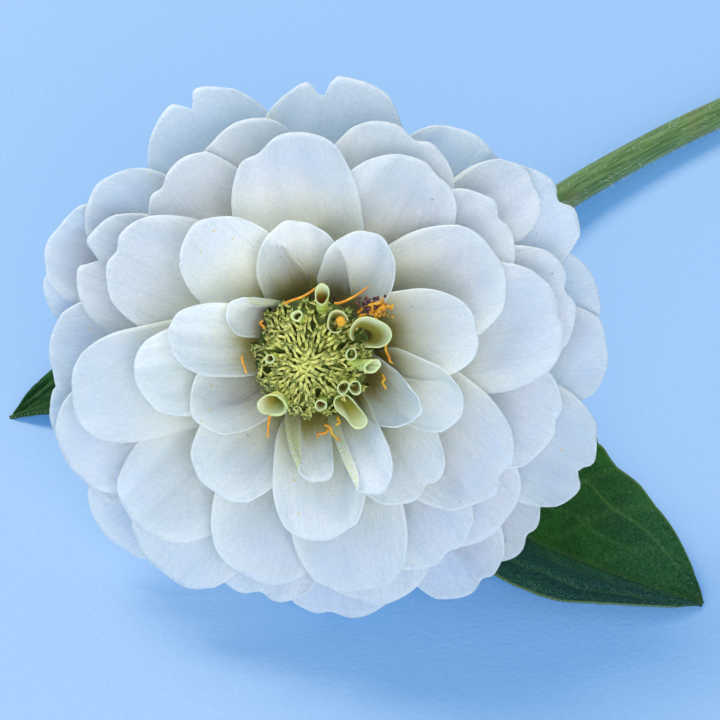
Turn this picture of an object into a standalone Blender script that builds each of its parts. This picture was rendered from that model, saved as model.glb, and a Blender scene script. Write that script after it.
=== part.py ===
"""A double zinnia, cut with a length of stem and laid on a flat surface.

The bloom is built in its own upright frame (base at zero, axis along +Z) under an empty that
tips it forward, so that it leans on its lowest petals. The stem runs back from it along +Y,
and a pair of opposite leaves sits on the stem close behind the bloom.
Lengths in the tables are millimetres; MM turns them into metres.
"""
import math

import bmesh
import bpy
from mathutils import Vector

MM = 0.001
GAP = 0.3

# Where the bloom's base is, and how the bloom is turned and tipped.
BLOOM_BASE = Vector((-24.2, 28.0, 23.9))
BLOOM_TIP = math.radians(57)
BLOOM_TURN = math.radians(29)

# The petals lie on layers nested round the axis. A layer is a curve of (radius, height) points:
# the outermost and the innermost are given, and the others lie between them.
OUTER_LAYER = ((7.5, 3.0), (12.0, 8.0), (22.0, 17.5), (46.0, 18.0))
INNER_LAYER = ((3.4, 16.0), (8.5, 22.0), (6.0, 46.0), (30.0, 42.0))
LAYER_STEP = 0.06

PETAL_THICKNESS = 0.3
PETAL_CLAW = 0.16
PETAL_WIDEST = 0.7
PETAL_TIP_ROUNDING = 0.74
PETAL_SHOULDER = 0.08
PETAL_FAN = math.radians(24)
PETAL_CLEARANCE = math.radians(2.5)
PETAL_COLUMNS = 4
PETAL_ROWS = 9

# Whorls from the outside in: name, layer of the first petals, and the petals as
# (direction in degrees round the axis, reach, width, depth of the notch in the tip).
WHORLS = (
    ("outer", 0.0, (
        (13, 39.7, 15, 0.3), (1, 40.1, 13, 0.5), (341, 41.4, 17, 0.8), (318, 41.0, 14, 0.4),
        (304, 41.8, 14, 0.8), (277, 40.0, 18, 1.0), (228, 42.5, 15, 0.3), (210, 41.7, 14, 0.3),
        (201, 42.3, 14, 0.5), (186, 39.8, 15, 0.4), (169, 42.3, 15, 0.5), (162, 41.0, 14, 0.4),
        (146, 39.6, 15, 0.4), (121, 40.3, 17, 1.6), (94, 37.7, 18, 1.4), (62, 36.7, 15, 0.5),
        (37, 40.5, 17, 1.0))),
    ("second", 0.29, (
        (15, 37.0, 16, 0.8), (345, 35.5, 16, 0.8), (321, 36.2, 16, 0.5), (291, 37.3, 16, 0.5),
        (260, 37.5, 17, 0.8), (242, 40.2, 17, 0.5), (208, 39.0, 16, 0.4), (164, 36.9, 17, 1.4),
        (134, 33.3, 15, 0.8), (112, 34.2, 14, 0.3), (73, 34.0, 17, 0.8), (40, 32.7, 15, 0.8))),
    ("third", 0.50, (
        (12, 34.1, 17, 0.8), (332, 31.9, 17, 1.0), (304, 34.6, 15, 0.5), (284, 34.1, 15, 0.4),
        (258, 33.4, 16, 0.4), (226, 32.6, 17, 0.4), (189, 35.3, 17, 0.4), (155, 32.3, 16, 0.8),
        (102, 31.2, 17, 0.5), (66, 30.8, 17, 0.5), (33, 29.3, 17, 0.4))),
    ("fourth", 0.73, (
        (16, 23.7, 13, 0.6), (350, 22.2, 10, 0.3), (314, 24.8, 13, 0.8), (277, 25.6, 12, 0.4),
        (240, 23.9, 13, 0.3), (208, 18.0, 11, 0.3), (184, 25.1, 12, 0.4), (130, 24.3, 13, 0.3),
        (101, 19.1, 13, 0.3), (68, 19.4, 11, 0.3))),
    ("inner", 0.92, (
        (340, 17.1, 8, 0.2), (296, 20.5, 8, 0.2), (262, 16.5, 8, 0.2), (176, 19.6, 10, 0.3))),
)

# Turned pieces, as (radius, height) profiles that run down the outside.
DISC_PROFILE = ((0, 41.0), (2.8, 40.7), (5.2, 39.6), (7.2, 37.4), (8.2, 34.4), (7.8, 31.0),
                (6.2, 26.5), (4.6, 22.0), (2.8, 17.2), (0, 16.9))
CUP_WALL = 0.7
CUP_LIP = 0.32
CUP_CLEARANCE = 0.55
CUP_FLOOR = 0.9
CUP_BASE_RADIUS = 2.7
TURNED_STEPS = 24

# The stem's centre line from the bloom to the cut end, and its radius along the way.
STEM_RADIUS = 2.4
STEM_ROUTE = ((-27.6, 35.0, 19.0), (-29.2, 44.0, 14.6), (-30.2, 57.0, 9.6), (-30.2, 76.0, 5.6),
              (-28.8, 100.0, 3.7), (-25.2, 120.0, 3.0), (-20.6, 137.0, 2.6), (-14.6, 153.0, 2.4),
              (-8.0, 167.0, 2.3))
STEM_POINTS_PER_SPAN = 4
STEM_NECK = 1.2
STEM_NECK_LENGTH = 0.15

# The leaves: midrib routes from the stem to the tip, half width and rise of each half.
LEAF_THICKNESS = 0.5
LEAF_COLUMNS = 6
LEAF_ROWS = 14
LEAF_TIP_HALF = 0.5
LEAF_FOOT = 0.08
LEAF_SKEW = 1.15
LEAF_FULLNESS = 0.75
LEAF_OPENS = 0.35
LEAVES = (
    ("leaf_right", ((-26.2, 42.6, 13.6), (-14.0, 37.6, 7.6), (-3.0, 32.4, 3.2),
                    (9.4, 28.0, 1.3), (23.0, 29.0, 0.8), (38.4, 31.4, 0.8)),
     17.0, math.radians(19), math.radians(30)),
    ("leaf_left", ((-32.2, 43.4, 13.6), (-41.5, 41.4, 10.4), (-52.0, 35.0, 6.2),
                   (-61.0, 23.0, 2.6), (-66.5, 12.0, 1.0), (-70.0, 3.8, 0.6)),
     12.0, math.radians(16), math.radians(16)),
)


def clear_scene():
    for thing in list(bpy.data.objects):
        bpy.data.objects.remove(thing, do_unlink=True)


def make_material(name, colour, roughness):
    material = bpy.data.materials.new(name)
    material.use_nodes = True
    shader = material.node_tree.nodes["Principled BSDF"]
    shader.inputs["Base Color"].default_value = (*colour, 1.0)
    shader.inputs["Roughness"].default_value = roughness
    shader.inputs["Metallic"].default_value = 0.0
    return material


def smooth_step(value):
    value = min(max(value, 0.0), 1.0)
    return value * value * (3.0 - 2.0 * value)


def add_mesh(name, bm, collection, material, parent=None):
    mesh = bpy.data.meshes.new(name)
    bm.to_mesh(mesh)
    bm.free()
    mesh.materials.append(material)
    mesh.shade_smooth()
    piece = bpy.data.objects.new(name, mesh)
    piece.parent = parent
    collection.objects.link(piece)
    return piece


def add_solidify(piece, thickness):
    shell = piece.modifiers.new("thickness", "SOLIDIFY")
    shell.thickness = thickness * MM
    shell.offset = 0.0
    return shell


def layer_point(layer, along):
    """Radius and height on a petal layer, along it from its root, 0, to its rim, 1."""
    root, rise, shoulder, rim = (
        Vector(outer).lerp(Vector(inner), layer) for outer, inner in zip(OUTER_LAYER, INNER_LAYER))
    back = 1.0 - along
    return (root * back ** 3 + rise * 3 * back ** 2 * along
            + shoulder * 3 * back * along ** 2 + rim * along ** 3)


def along_at_radius(layer, radius):
    low, high = 0.0, 1.0
    for _ in range(30):
        middle = (low + high) / 2
        if layer_point(layer, middle).x < radius:
            low = middle
        else:
            high = middle
    return low


def petal_half_width(width, up_petal, radius):
    """Half width of a petal: a narrow claw, a broad blade and a slightly drawn-in tip."""
    if up_petal < PETAL_WIDEST:
        share = PETAL_CLAW + (1 - PETAL_CLAW) * smooth_step(up_petal / PETAL_WIDEST)
    else:
        beyond = (up_petal - PETAL_WIDEST) / (1 - PETAL_WIDEST)
        share = math.sqrt(1 - (PETAL_TIP_ROUNDING * beyond) ** 2)
    return min(share * width / 2, radius * math.tan(PETAL_FAN))


def petal_spread(layer, reach, width):
    """Widest half angle that a petal takes up round the axis."""
    corner = along_at_radius(layer, reach) * (1 - PETAL_SHOULDER)
    spread = 0.0
    for row in range(PETAL_ROWS + 1):
        up_petal = row / PETAL_ROWS
        radius = layer_point(layer, corner * up_petal).x
        spread = max(spread, petal_half_width(width, up_petal, radius) / radius)
    return spread


def share_layers(first_layer, petals):
    """Give each petal of a whorl the lowest layer where it is clear of those placed before it."""
    rows = []
    layers = []
    for degrees, reach, width, _ in petals:
        direction = math.radians(degrees)
        step = 0
        while True:
            layer = first_layer + LAYER_STEP * step
            spread = petal_spread(layer, reach, width)
            if step == len(rows):
                rows.append([])
            clear = all(
                abs(math.remainder(direction - other, math.tau))
                > spread + other_spread + PETAL_CLEARANCE
                for other, other_spread in rows[step])
            if clear:
                break
            step += 1
        rows[step].append((direction, spread))
        layers.append(layer)
    return layers


def make_petal(name, petal, layer, collection, material, parent):
    """A sheet on its layer, with a notched tip, given its thickness by Solidify."""
    degrees, reach, width, notch = petal
    direction = math.radians(degrees)
    rim = along_at_radius(layer, reach)
    bm = bmesh.new()
    bmesh.ops.create_grid(bm, x_segments=PETAL_COLUMNS, y_segments=PETAL_ROWS, size=1.0)
    for vertex in bm.verts:
        across = vertex.co.x
        up_petal = (vertex.co.y + 1) / 2
        edge = 1 - PETAL_SHOULDER * across ** 4
        if abs(across) < 1 / PETAL_COLUMNS:
            edge -= notch / reach
        point = layer_point(layer, rim * up_petal * edge)
        turn = direction + across * petal_half_width(width, up_petal, point.x) / point.x
        vertex.co = Vector((point.x * math.cos(turn), point.x * math.sin(turn), point.y)) * MM
    bmesh.ops.recalc_face_normals(bm, faces=bm.faces)
    petal_object = add_mesh(name, bm, collection, material, parent)
    add_solidify(petal_object, PETAL_THICKNESS)
    return petal_object


def make_turned(name, profile, collection, material, parent):
    """A turned solid: a profile in the XZ plane carried once round Z by a Screw modifier."""
    mesh = bpy.data.meshes.new(name)
    points = [(radius * MM, 0.0, height * MM) for radius, height in profile]
    edges = [(index, index + 1) for index in range(len(points) - 1)]
    mesh.from_pydata(points, edges, [])
    mesh.materials.append(material)
    piece = bpy.data.objects.new(name, mesh)
    piece.parent = parent
    collection.objects.link(piece)
    lathe = piece.modifiers.new("lathe", "SCREW")
    lathe.steps = TURNED_STEPS
    lathe.render_steps = TURNED_STEPS
    lathe.use_merge_vertices = True
    lathe.merge_threshold = 0.00001
    return piece


def receptacle_profile():
    """The cone that carries the petals, a gap inside the line of their roots."""
    low = Vector(OUTER_LAYER[0])
    high = Vector(INNER_LAYER[0])
    slant = (high - low).normalized()
    inward = Vector((-slant.y, slant.x)) * (GAP + PETAL_THICKNESS / 4)
    low = low + inward - slant * GAP
    high = high + inward
    return ((0, high.y + GAP), (high.x * 0.7, high.y + GAP * 0.8), (high.x, high.y),
            (low.x, low.y), (low.x * 0.6, low.y - 0.9), (0, low.y - 1.1))


def cup_profile():
    """The involucre: a cup under the outermost layer, wall, lip and floor."""
    inner = []
    outer = []
    for step in range(5):
        along = CUP_LIP * step / 4
        point = layer_point(0.0, along)
        ahead = (layer_point(0.0, along + 0.01) - point).normalized()
        below = Vector((ahead.y, -ahead.x))
        inner.append(point + below * CUP_CLEARANCE)
        outer.append(point + below * (CUP_CLEARANCE + CUP_WALL))
    profile = [(0, CUP_FLOOR), (inner[0].x * 0.8, CUP_FLOOR)]
    profile += [tuple(point) for point in inner]
    profile += [tuple(point) for point in reversed(outer)]
    profile += [(CUP_BASE_RADIUS, 0.15), (0, 0)]
    return profile


def route_point(points, along):
    """A smooth curve through points: Catmull-Rom, with along running from 0 to 1."""
    spans = len(points) - 1
    place = min(along * spans, spans - 1e-6)
    span = int(place)
    local = place - span
    a = Vector(points[max(span - 1, 0)])
    b = Vector(points[span])
    c = Vector(points[span + 1])
    d = Vector(points[min(span + 2, spans)])
    return 0.5 * (2 * b + (c - a) * local + (2 * a - 5 * b + 4 * c - d) * local ** 2
                  + (3 * b - a - 3 * c + d) * local ** 3)


def make_stem(collection, material, start):
    """A tube along the route, a little thicker at the neck under the bloom."""
    route = (tuple(start),) + STEM_ROUTE
    count = (len(route) - 1) * STEM_POINTS_PER_SPAN + 1
    curve = bpy.data.curves.new("stem", "CURVE")
    curve.dimensions = "3D"
    curve.bevel_depth = STEM_RADIUS * MM
    curve.bevel_resolution = 2
    curve.use_fill_caps = True
    spline = curve.splines.new("POLY")
    spline.points.add(count - 1)
    for index, point in enumerate(spline.points):
        along = index / (count - 1)
        point.co = (*(route_point(route, along) * MM), 1.0)
        point.radius = 1 + (STEM_NECK - 1) * smooth_step(1 - along / STEM_NECK_LENGTH)
    curve.materials.append(material)
    stem = bpy.data.objects.new("stem", curve)
    collection.objects.link(stem)
    return stem


def make_leaf(name, route, half_width, front_rise, back_rise, collection, material):
    """A pointed oval leaf folded along its midrib, with its root against the stem."""
    bm = bmesh.new()
    bmesh.ops.create_grid(bm, x_segments=LEAF_COLUMNS, y_segments=LEAF_ROWS, size=1.0)
    for vertex in bm.verts:
        across = vertex.co.x
        along = (vertex.co.y + 1) / 2
        middle = route_point(route, along)
        ahead = route_point(route, min(along + 0.01, 1)) - route_point(route, max(along - 0.01, 0))
        side = ahead.cross(Vector((0, 0, 1))).normalized()
        swell = math.sin(math.pi * (LEAF_FOOT + (1 - LEAF_FOOT) * along) ** LEAF_SKEW)
        half = max(half_width * max(swell, 0.0) ** LEAF_FULLNESS, LEAF_TIP_HALF)
        rise = (front_rise if across > 0 else back_rise) * smooth_step(along / LEAF_OPENS)
        point = middle + side * across * half * math.cos(rise)
        point.z += abs(across) * half * math.sin(rise)
        vertex.co = point * MM
    bmesh.ops.recalc_face_normals(bm, faces=bm.faces)
    leaf = add_mesh(name, bm, collection, material)
    add_solidify(leaf, LEAF_THICKNESS)
    return leaf


def stand_on_origin(pieces, holders):
    """Move the whole flower so that the bottom centre of its box is the origin."""
    bpy.context.view_layer.update()
    depsgraph = bpy.context.evaluated_depsgraph_get()
    corners = []
    for piece in pieces:
        shape = piece.evaluated_get(depsgraph)
        mesh = shape.to_mesh()
        corners += [shape.matrix_world @ vertex.co for vertex in mesh.vertices]
        shape.to_mesh_clear()
    low = Vector(min(corner[axis] for corner in corners) for axis in range(3))
    high = Vector(max(corner[axis] for corner in corners) for axis in range(3))
    shift = Vector(((low.x + high.x) / 2, (low.y + high.y) / 2, low.z))
    for holder in holders:
        holder.location -= shift


def main():
    clear_scene()
    collection = bpy.data.collections.new("zinnia_flower")
    bpy.context.scene.collection.children.link(collection)
    petal_white = make_material("petal_white", (0.86, 0.88, 0.86), 0.5)
    leaf_green = make_material("leaf_green", (0.10, 0.19, 0.09), 0.6)
    stem_green = make_material("stem_green", (0.28, 0.38, 0.16), 0.6)
    bract_green = make_material("bract_green", (0.20, 0.29, 0.11), 0.6)
    chaff_yellow = make_material("chaff_yellow", (0.62, 0.60, 0.26), 0.6)
    heart_pale = make_material("heart_pale", (0.68, 0.72, 0.50), 0.7)

    plant = bpy.data.objects.new("plant", None)
    collection.objects.link(plant)
    bloom = bpy.data.objects.new("bloom", None)
    bloom.parent = plant
    bloom.location = BLOOM_BASE * MM
    bloom.rotation_euler = (BLOOM_TIP, 0.0, BLOOM_TURN)
    collection.objects.link(bloom)
    bpy.context.view_layer.update()

    pieces = []
    for whorl, first_layer, petals in WHORLS:
        layers = share_layers(first_layer, petals)
        for number, (petal, layer) in enumerate(zip(petals, layers), 1):
            name = f"petal_{whorl}_{number:02d}"
            pieces.append(make_petal(name, petal, layer, collection, petal_white, bloom))
    pieces.append(make_turned("disc", DISC_PROFILE, collection, chaff_yellow, bloom))
    pieces.append(make_turned("receptacle", receptacle_profile(), collection, heart_pale, bloom))
    pieces.append(make_turned("involucre", cup_profile(), collection, bract_green, bloom))

    stem_top = bloom.matrix_world @ Vector((0, 0, -GAP * MM)) / MM
    stem = make_stem(collection, stem_green, stem_top)
    stem.parent = plant
    pieces.append(stem)
    for name, route, half_width, front_rise, back_rise in LEAVES:
        leaf = make_leaf(name, route, half_width, front_rise, back_rise, collection, leaf_green)
        leaf.parent = plant
        pieces.append(leaf)
    stand_on_origin(pieces, (plant,))


main()
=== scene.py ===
"""The looks of the zinnia: petals, chaff, bracts, leaves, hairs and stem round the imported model.

Lengths are millimetres in the tables and the grids; MM turns them into metres at the end.
"""
import math
import random

import bpy
import numpy as np
from mathutils import Matrix, Vector


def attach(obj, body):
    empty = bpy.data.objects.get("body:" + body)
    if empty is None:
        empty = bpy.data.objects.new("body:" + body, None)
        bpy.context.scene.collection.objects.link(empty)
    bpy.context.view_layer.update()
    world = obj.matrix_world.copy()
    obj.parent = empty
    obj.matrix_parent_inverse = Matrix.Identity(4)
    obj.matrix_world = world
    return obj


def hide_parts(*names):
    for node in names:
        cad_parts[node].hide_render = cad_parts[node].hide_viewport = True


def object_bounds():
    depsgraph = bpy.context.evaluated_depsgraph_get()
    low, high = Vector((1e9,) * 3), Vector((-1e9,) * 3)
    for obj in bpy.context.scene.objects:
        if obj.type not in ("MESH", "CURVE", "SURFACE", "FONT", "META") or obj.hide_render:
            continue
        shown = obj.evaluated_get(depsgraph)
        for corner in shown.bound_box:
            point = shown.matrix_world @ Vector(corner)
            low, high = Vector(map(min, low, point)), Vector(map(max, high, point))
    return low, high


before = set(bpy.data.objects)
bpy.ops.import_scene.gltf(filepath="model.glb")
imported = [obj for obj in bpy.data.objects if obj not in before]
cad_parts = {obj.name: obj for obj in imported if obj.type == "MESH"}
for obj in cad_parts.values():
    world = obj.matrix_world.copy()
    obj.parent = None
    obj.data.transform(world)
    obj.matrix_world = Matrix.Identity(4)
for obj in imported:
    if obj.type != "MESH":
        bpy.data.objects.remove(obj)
CAD_LOW, CAD_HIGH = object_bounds()

MM = 0.001
BODY = "root"
UP = np.array((0.0, 0.0, 1.0))
CHANCE_SEED = 41
rng = random.Random(CHANCE_SEED)


# ------------ small sums

def smooth_step(x):
    x = np.clip(x, 0, 1)
    return x * x * (3 - 2 * x)


def unit(vectors):
    return vectors / np.linalg.norm(vectors, axis=-1, keepdims=True)


def ways_along(path):
    """The direction of a path at each of its points."""
    return unit(np.gradient(path, axis=0))


def running_length(path):
    """How far along a path each of its points lies."""
    return np.concatenate(([0], np.cumsum(np.linalg.norm(np.diff(path, axis=0), axis=1))))


def full_turn(count):
    return np.arange(count) * math.tau / count


def round_place(angle, radius, level):
    """Points round the bloom's axis, with the angle in radians."""
    parts = np.broadcast_arrays(radius * np.cos(angle), radius * np.sin(angle), level)
    return np.stack(parts, axis=-1)


# ------------ places taken from the frame

BLOOM_TIP = math.radians(57)
BLOOM_TURN = math.radians(29)
BLOOM_AXES = np.array(Matrix.Rotation(BLOOM_TURN, 3, "Z") @ Matrix.Rotation(BLOOM_TIP, 3, "X"))
FACE = BLOOM_AXES[:, 2]


def mesh_points(mesh):
    """A mesh's corners in millimetres."""
    return np.array([tuple(v.co) for v in mesh.vertices]) / MM


def node_points(node):
    return mesh_points(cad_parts[node].data)


CUP_POINTS = node_points("involucre")
BLOOM_BASE = CUP_POINTS[np.argmin(CUP_POINTS @ FACE)]


def to_bloom(points):
    return (points - BLOOM_BASE) @ BLOOM_AXES


def from_bloom(points):
    return points @ BLOOM_AXES.T + BLOOM_BASE


# The nested layers that the petals lie on, as in the CAD: (radius, height) from root to rim.
OUTER_LAYER = np.array(((7.5, 3.0), (12.0, 8.0), (22.0, 17.5), (46.0, 18.0)))
INNER_LAYER = np.array(((3.4, 16.0), (8.5, 22.0), (6.0, 46.0), (30.0, 42.0)))
LAYER_SAMPLES = 160
LAYERS_TRIED = np.linspace(0, 1.1, 111)
PETAL_MIDDLE_FROM = 0.45
PETAL_MIDDLE_TO = 0.8


def layer_curve(depth):
    """Points along a layer, as rows of radius and height; depth is 0 outermost and 1 innermost."""
    root, rise, shoulder, rim = OUTER_LAYER + (INNER_LAYER - OUTER_LAYER) * depth
    t = np.linspace(0, 1, LAYER_SAMPLES)[:, None]
    b = 1 - t
    return root * b ** 3 + 3 * rise * b * b * t + 3 * shoulder * b * t * t + rim * t ** 3


class Layer:
    """One layer, measured along its length from the root."""

    def __init__(self, depth):
        self.curve = layer_curve(depth)
        self.arc = running_length(self.curve)
        self.slope = np.gradient(self.curve, self.arc, axis=0)

    def laid(self, long, height):
        """Radius on the layer at a length along it, then radius and level this high off it."""
        rows = (*self.curve.T, *self.slope.T)
        radius, level, slope_r, slope_z = [np.interp(long, self.arc, row) for row in rows]
        return radius, radius - slope_z * height, level + slope_r * height


def read_petal(node):
    """Direction, reach, half width and layer of a CAD petal, measured on its mesh."""
    points = to_bloom(node_points(node))
    radius = np.hypot(points[:, 0], points[:, 1])
    centre = points[:, :2].mean(0)
    direction = math.atan2(centre[1], centre[0])
    turn = np.arctan2(points[:, 1], points[:, 0]) - direction
    turn = (turn + math.pi) % math.tau - math.pi
    reach = radius.max()
    half = np.abs(turn * radius).max()
    middle = (radius > reach * PETAL_MIDDLE_FROM) & (radius < reach * PETAL_MIDDLE_TO)
    heights = [np.interp(radius[middle], *layer_curve(depth).T).mean() for depth in LAYERS_TRIED]
    depth = np.interp(points[middle, 2].mean(), heights, LAYERS_TRIED)
    return direction, reach, half, depth


# ------------ materials

class Value:
    """A socket that can be used in sums, so that shader maths reads as maths."""

    def __init__(self, finish, socket):
        self.finish = finish
        self.socket = socket

    def maths(self, operation, first, second):
        return self.finish.node("ShaderNodeMath", {"operation": operation}, {0: first, 1: second})

    def __add__(self, other):
        return self.maths("ADD", self, other)

    def __radd__(self, other):
        return self.maths("ADD", other, self)

    def __sub__(self, other):
        return self.maths("SUBTRACT", self, other)

    def __rsub__(self, other):
        return self.maths("SUBTRACT", other, self)

    def __mul__(self, other):
        return self.maths("MULTIPLY", self, other)

    def __rmul__(self, other):
        return self.maths("MULTIPLY", other, self)


class Finish:
    """A Principled material and the nodes that feed it."""

    def __init__(self, name, **constants):
        self.material = bpy.data.materials.new(name)
        self.material.use_nodes = True
        self.tree = self.material.node_tree
        self.shader = self.tree.nodes["Principled BSDF"]
        for socket, value in constants.items():
            self.shader.inputs[socket.replace("_", " ")].default_value = value

    def node(self, kind, settings, sockets, output=0):
        """Any node: its type, its settings, then the values or links of its sockets."""
        made = self.tree.nodes.new(kind)
        for name, setting in settings.items():
            setattr(made, name, setting)
        for name, value in sockets.items():
            self.feed(made.inputs[name], value)
        return Value(self, made.outputs[output])

    def feed(self, socket, value):
        if isinstance(value, Value):
            self.tree.links.new(value.socket, socket)
        elif isinstance(value, tuple) and len(value) == 3 and socket.type == "RGBA":
            socket.default_value = (*value, 1.0)
        else:
            socket.default_value = value

    def mix(self, factor, first, second):
        settings = {"data_type": "RGBA", "blend_type": "MIX", "clamp_factor": True}
        return self.node("ShaderNodeMix", settings, {0: factor, 6: first, 7: second}, 2)

    def between(self, value, low, high):
        """Rises softly from 0 at low to 1 at high; low may be the larger."""
        settings = {"interpolation_type": "SMOOTHSTEP"}
        return self.node("ShaderNodeMapRange", settings, {0: value, 1: low, 2: high})

    def coats(self, colour, *coats):
        """Colours laid one over another: colour, the value that shows it, its low and high end,
        and how strongly it covers."""
        for coat, value, low, high, strength in coats:
            colour = self.mix(self.between(value, low, high) * strength, colour, coat)
        return colour

    def place(self):
        return self.node("ShaderNodeTexCoord", {}, {}, 3)

    def sheet_noise(self, scales, scale=1.0, detail=2.0, roughness=0.5):
        """Noise stretched across and along a sheet, in millimetres of its UV map."""
        sheet = self.node("ShaderNodeUVMap", {"uv_map": "sheet"}, {})
        vector = self.node("ShaderNodeVectorMath", {"operation": "MULTIPLY"}, {0: sheet, 1: scales})
        return self.noise(vector, scale, detail, roughness)

    def noise(self, vector, scale, detail=3.0, roughness=0.5):
        sockets = {"Vector": vector, "Scale": scale, "Detail": detail, "Roughness": roughness}
        return self.node("ShaderNodeTexNoise", {}, sockets)

    def cells(self, vector, scale, feature="F1"):
        return self.node("ShaderNodeTexVoronoi", {"feature": feature},
                         {"Vector": vector, "Scale": scale})

    def painted(self):
        """The three numbers painted on each point of a mesh."""
        colour = self.node("ShaderNodeAttribute", {"attribute_name": "tone"}, {})
        return [self.node("ShaderNodeSeparateColor", {}, {0: colour}, part) for part in range(3)]

    def skin(self, colour, roughness, height, strength, distance):
        """Colour, roughness and bump, whose distance is in millimetres."""
        sockets = {"Strength": strength, "Distance": distance * MM, "Height": height}
        self.feed(self.shader.inputs["Base Color"], colour)
        self.feed(self.shader.inputs["Roughness"], roughness)
        self.feed(self.shader.inputs["Normal"], self.node("ShaderNodeBump", {}, sockets))
        return self.material


def petal_finish(name, reverse):
    """White petal: cream at the foot and dark olive close to the disc, cool mottled blade, faint
    veins, pale margin; the olive is partly the petal's own colour and partly painted shade in the
    crevices by the disc.
    """
    finish = Finish(name, Subsurface_Weight=0.6, Subsurface_Scale=0.0022,
                    Subsurface_Radius=(1.0, 0.95, 0.80), Sheen_Weight=0.06, Sheen_Roughness=0.5,
                    Specular_IOR_Level=0.12)
    along, edge, youth = finish.painted()
    place = finish.place()
    blotch = finish.noise(place, 130.0, 3.0)
    tint = finish.noise(place, 62.0, 2.0)
    vein = finish.sheet_noise((1.3, 0.09, 1.0))
    fine = finish.sheet_noise((4.0, 0.8, 1.0), roughness=0.6)
    grain = finish.noise(place, 2600.0, 2.0)
    ragged = finish.noise(place, 1500.0, 2.0)

    clouded = finish.coats(
        (0.73, 0.79, 0.94),
        ((0.92, 0.91, 0.97), blotch, 0.36, 0.66, 1.0),
        ((0.95, 0.885, 0.90), tint, 0.50, 0.66, 0.75),
        ((0.85, 0.92, 0.82), tint, 0.50, 0.34, 0.6))
    cream = finish.mix(youth * 0.8, clouded, (0.96, 0.94, 0.78))
    blade = finish.coats(
        cream,
        ((0.90, 0.90, 0.77), edge + blotch * 0.25, 0.62, 1.0, 0.55),
        ((0.72, 0.80, 0.80), vein, 0.50, 0.68, 0.50),
        ((0.66, 0.75, 0.88), fine, 0.40, 0.62, 0.34),
        ((0.74, 0.78, 0.80), grain, 0.40, 0.60, 0.42),
        ((0.98, 0.89, 0.55), along + vein * 0.14 - tint * 0.15, 0.86, 0.42, 0.68 + youth * 0.4),
        # Dark olive toward the foot: partly the petal's own olive base, partly painted shade in the
        # crevices next to the disc.
        ((0.46, 0.36, 0.05), along + vein * 0.16 - youth * 0.35, 0.58, 0.32, 0.80 + youth * 0.2))
    if reverse:
        speckle = finish.sheet_noise((1.6, 1.0, 1.0), scale=2.6)
        greened = finish.mix(youth * 0.8, blade, (0.94, 0.91, 0.56))
        blade = finish.coats(greened, ((0.70, 0.74, 0.12), speckle, 0.42, 0.60, 0.08 + youth * 0.8))
    dark_areas = finish.between(finish.noise(place, 150.0, 1.0), 0.60, 0.66)
    dusted_areas = finish.between(finish.noise(place, 90.0, 1.0), 0.58, 0.66)
    specks = finish.cells(place, 560.0) + ragged * 0.12
    pollen = finish.cells(place, 430.0) + ragged * 0.16
    spotted = finish.coats(
        blade,
        ((0.93, 0.92, 0.78), edge, 0.93, 0.99, 0.6),
        ((0.30, 0.24, 0.20), specks, 0.17, 0.11, dark_areas * 0.8),
        ((0.88, 0.55, 0.12), pollen, 0.20, 0.12, dusted_areas * 0.8))
    relief = vein * 0.8 + fine * 0.5 + grain * 0.4
    return finish.skin(spotted, 0.58 + fine * 0.2, relief, 1.0, 0.26)


def young_finish(name, outside):
    """Rays that are still rolled: mottled green outside; inside, cream that darkens to olive deeper in
    the roll as painted shade in its hollow.
    """
    finish = Finish(name, Subsurface_Weight=0.25, Subsurface_Scale=0.0008, Specular_IOR_Level=0.3)
    along, edge, _ = finish.painted()
    place = finish.place()
    mottle = finish.noise(place, 1300.0, 2.0)
    shade = finish.noise(place, 380.0, 2.0)
    if outside:
        body = finish.coats((0.50, 0.57, 0.04),
                            ((0.88, 0.85, 0.26), mottle, 0.40, 0.60, 1.0),
                            ((0.80, 0.86, 0.52), along, 0.60, 0.97, 0.35))
    else:
        # Inside: the olive deeper in the roll is painted shade in the hollow.
        body = finish.coats((0.90, 0.90, 0.56),
                            ((0.34, 0.34, 0.05), along, 0.95, 0.62, 1.0),
                            ((0.60, 0.62, 0.26), shade, 0.45, 0.65, 0.4))
    rimmed = finish.coats(body, ((0.80, 0.88, 0.42), edge, 0.82, 0.98, 0.5))
    return finish.skin(rimmed, 0.45 + mottle * 0.2, mottle, 0.45, 0.12)


def chaff_finish():
    """Straw-coloured tips over green, darkened to nearly black toward their feet as painted shade down
    among the crowded chaff.
    """
    finish = Finish("chaff", Subsurface_Weight=0.2, Subsurface_Scale=0.0006,
                    Specular_IOR_Level=0.35)
    along, _, youth = finish.painted()
    place = finish.place()
    tint = finish.noise(place, 420.0, 2.0)
    # The last coat darkens each chaff toward its foot: painted shade down among the crowded chaff.
    colour = finish.coats((1.0, 0.86, 0.30),
                          ((0.84, 0.80, 0.20), tint, 0.38, 0.62, 1.0),
                          ((0.62, 0.68, 0.10), tint, 0.60, 0.40, youth * 0.5),
                          ((0.09, 0.15, 0.012), along, 0.82, 0.50, 1.0))
    return finish.skin(colour, 0.42 + tint * 0.2, finish.noise(place, 1900.0, 2.0), 0.5, 0.15)


def core_finish():
    finish = Finish("chaff_core", Specular_IOR_Level=0.2)
    tint = finish.noise(finish.place(), 700.0)
    # Near-black green: painted shade deep under the chaff tips, over the disc's own green.
    colour = finish.coats((0.05, 0.075, 0.012), ((0.17, 0.22, 0.04), tint, 0.4, 0.65, 1.0))
    return finish.skin(colour, 0.6 + tint * 0.2, tint, 1.0, 0.5)


def style_finish():
    finish = Finish("style_orange", Subsurface_Weight=0.2, Subsurface_Scale=0.0006)
    place = finish.place()
    tint = finish.noise(place, 900.0, 2.0)
    colour = finish.coats((0.84, 0.28, 0.010), ((0.95, 0.48, 0.03), tint, 0.35, 0.65, 1.0))
    return finish.skin(colour, 0.4 + tint * 0.25, finish.noise(place, 3200.0, 1.0), 0.6, 0.1)


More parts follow.
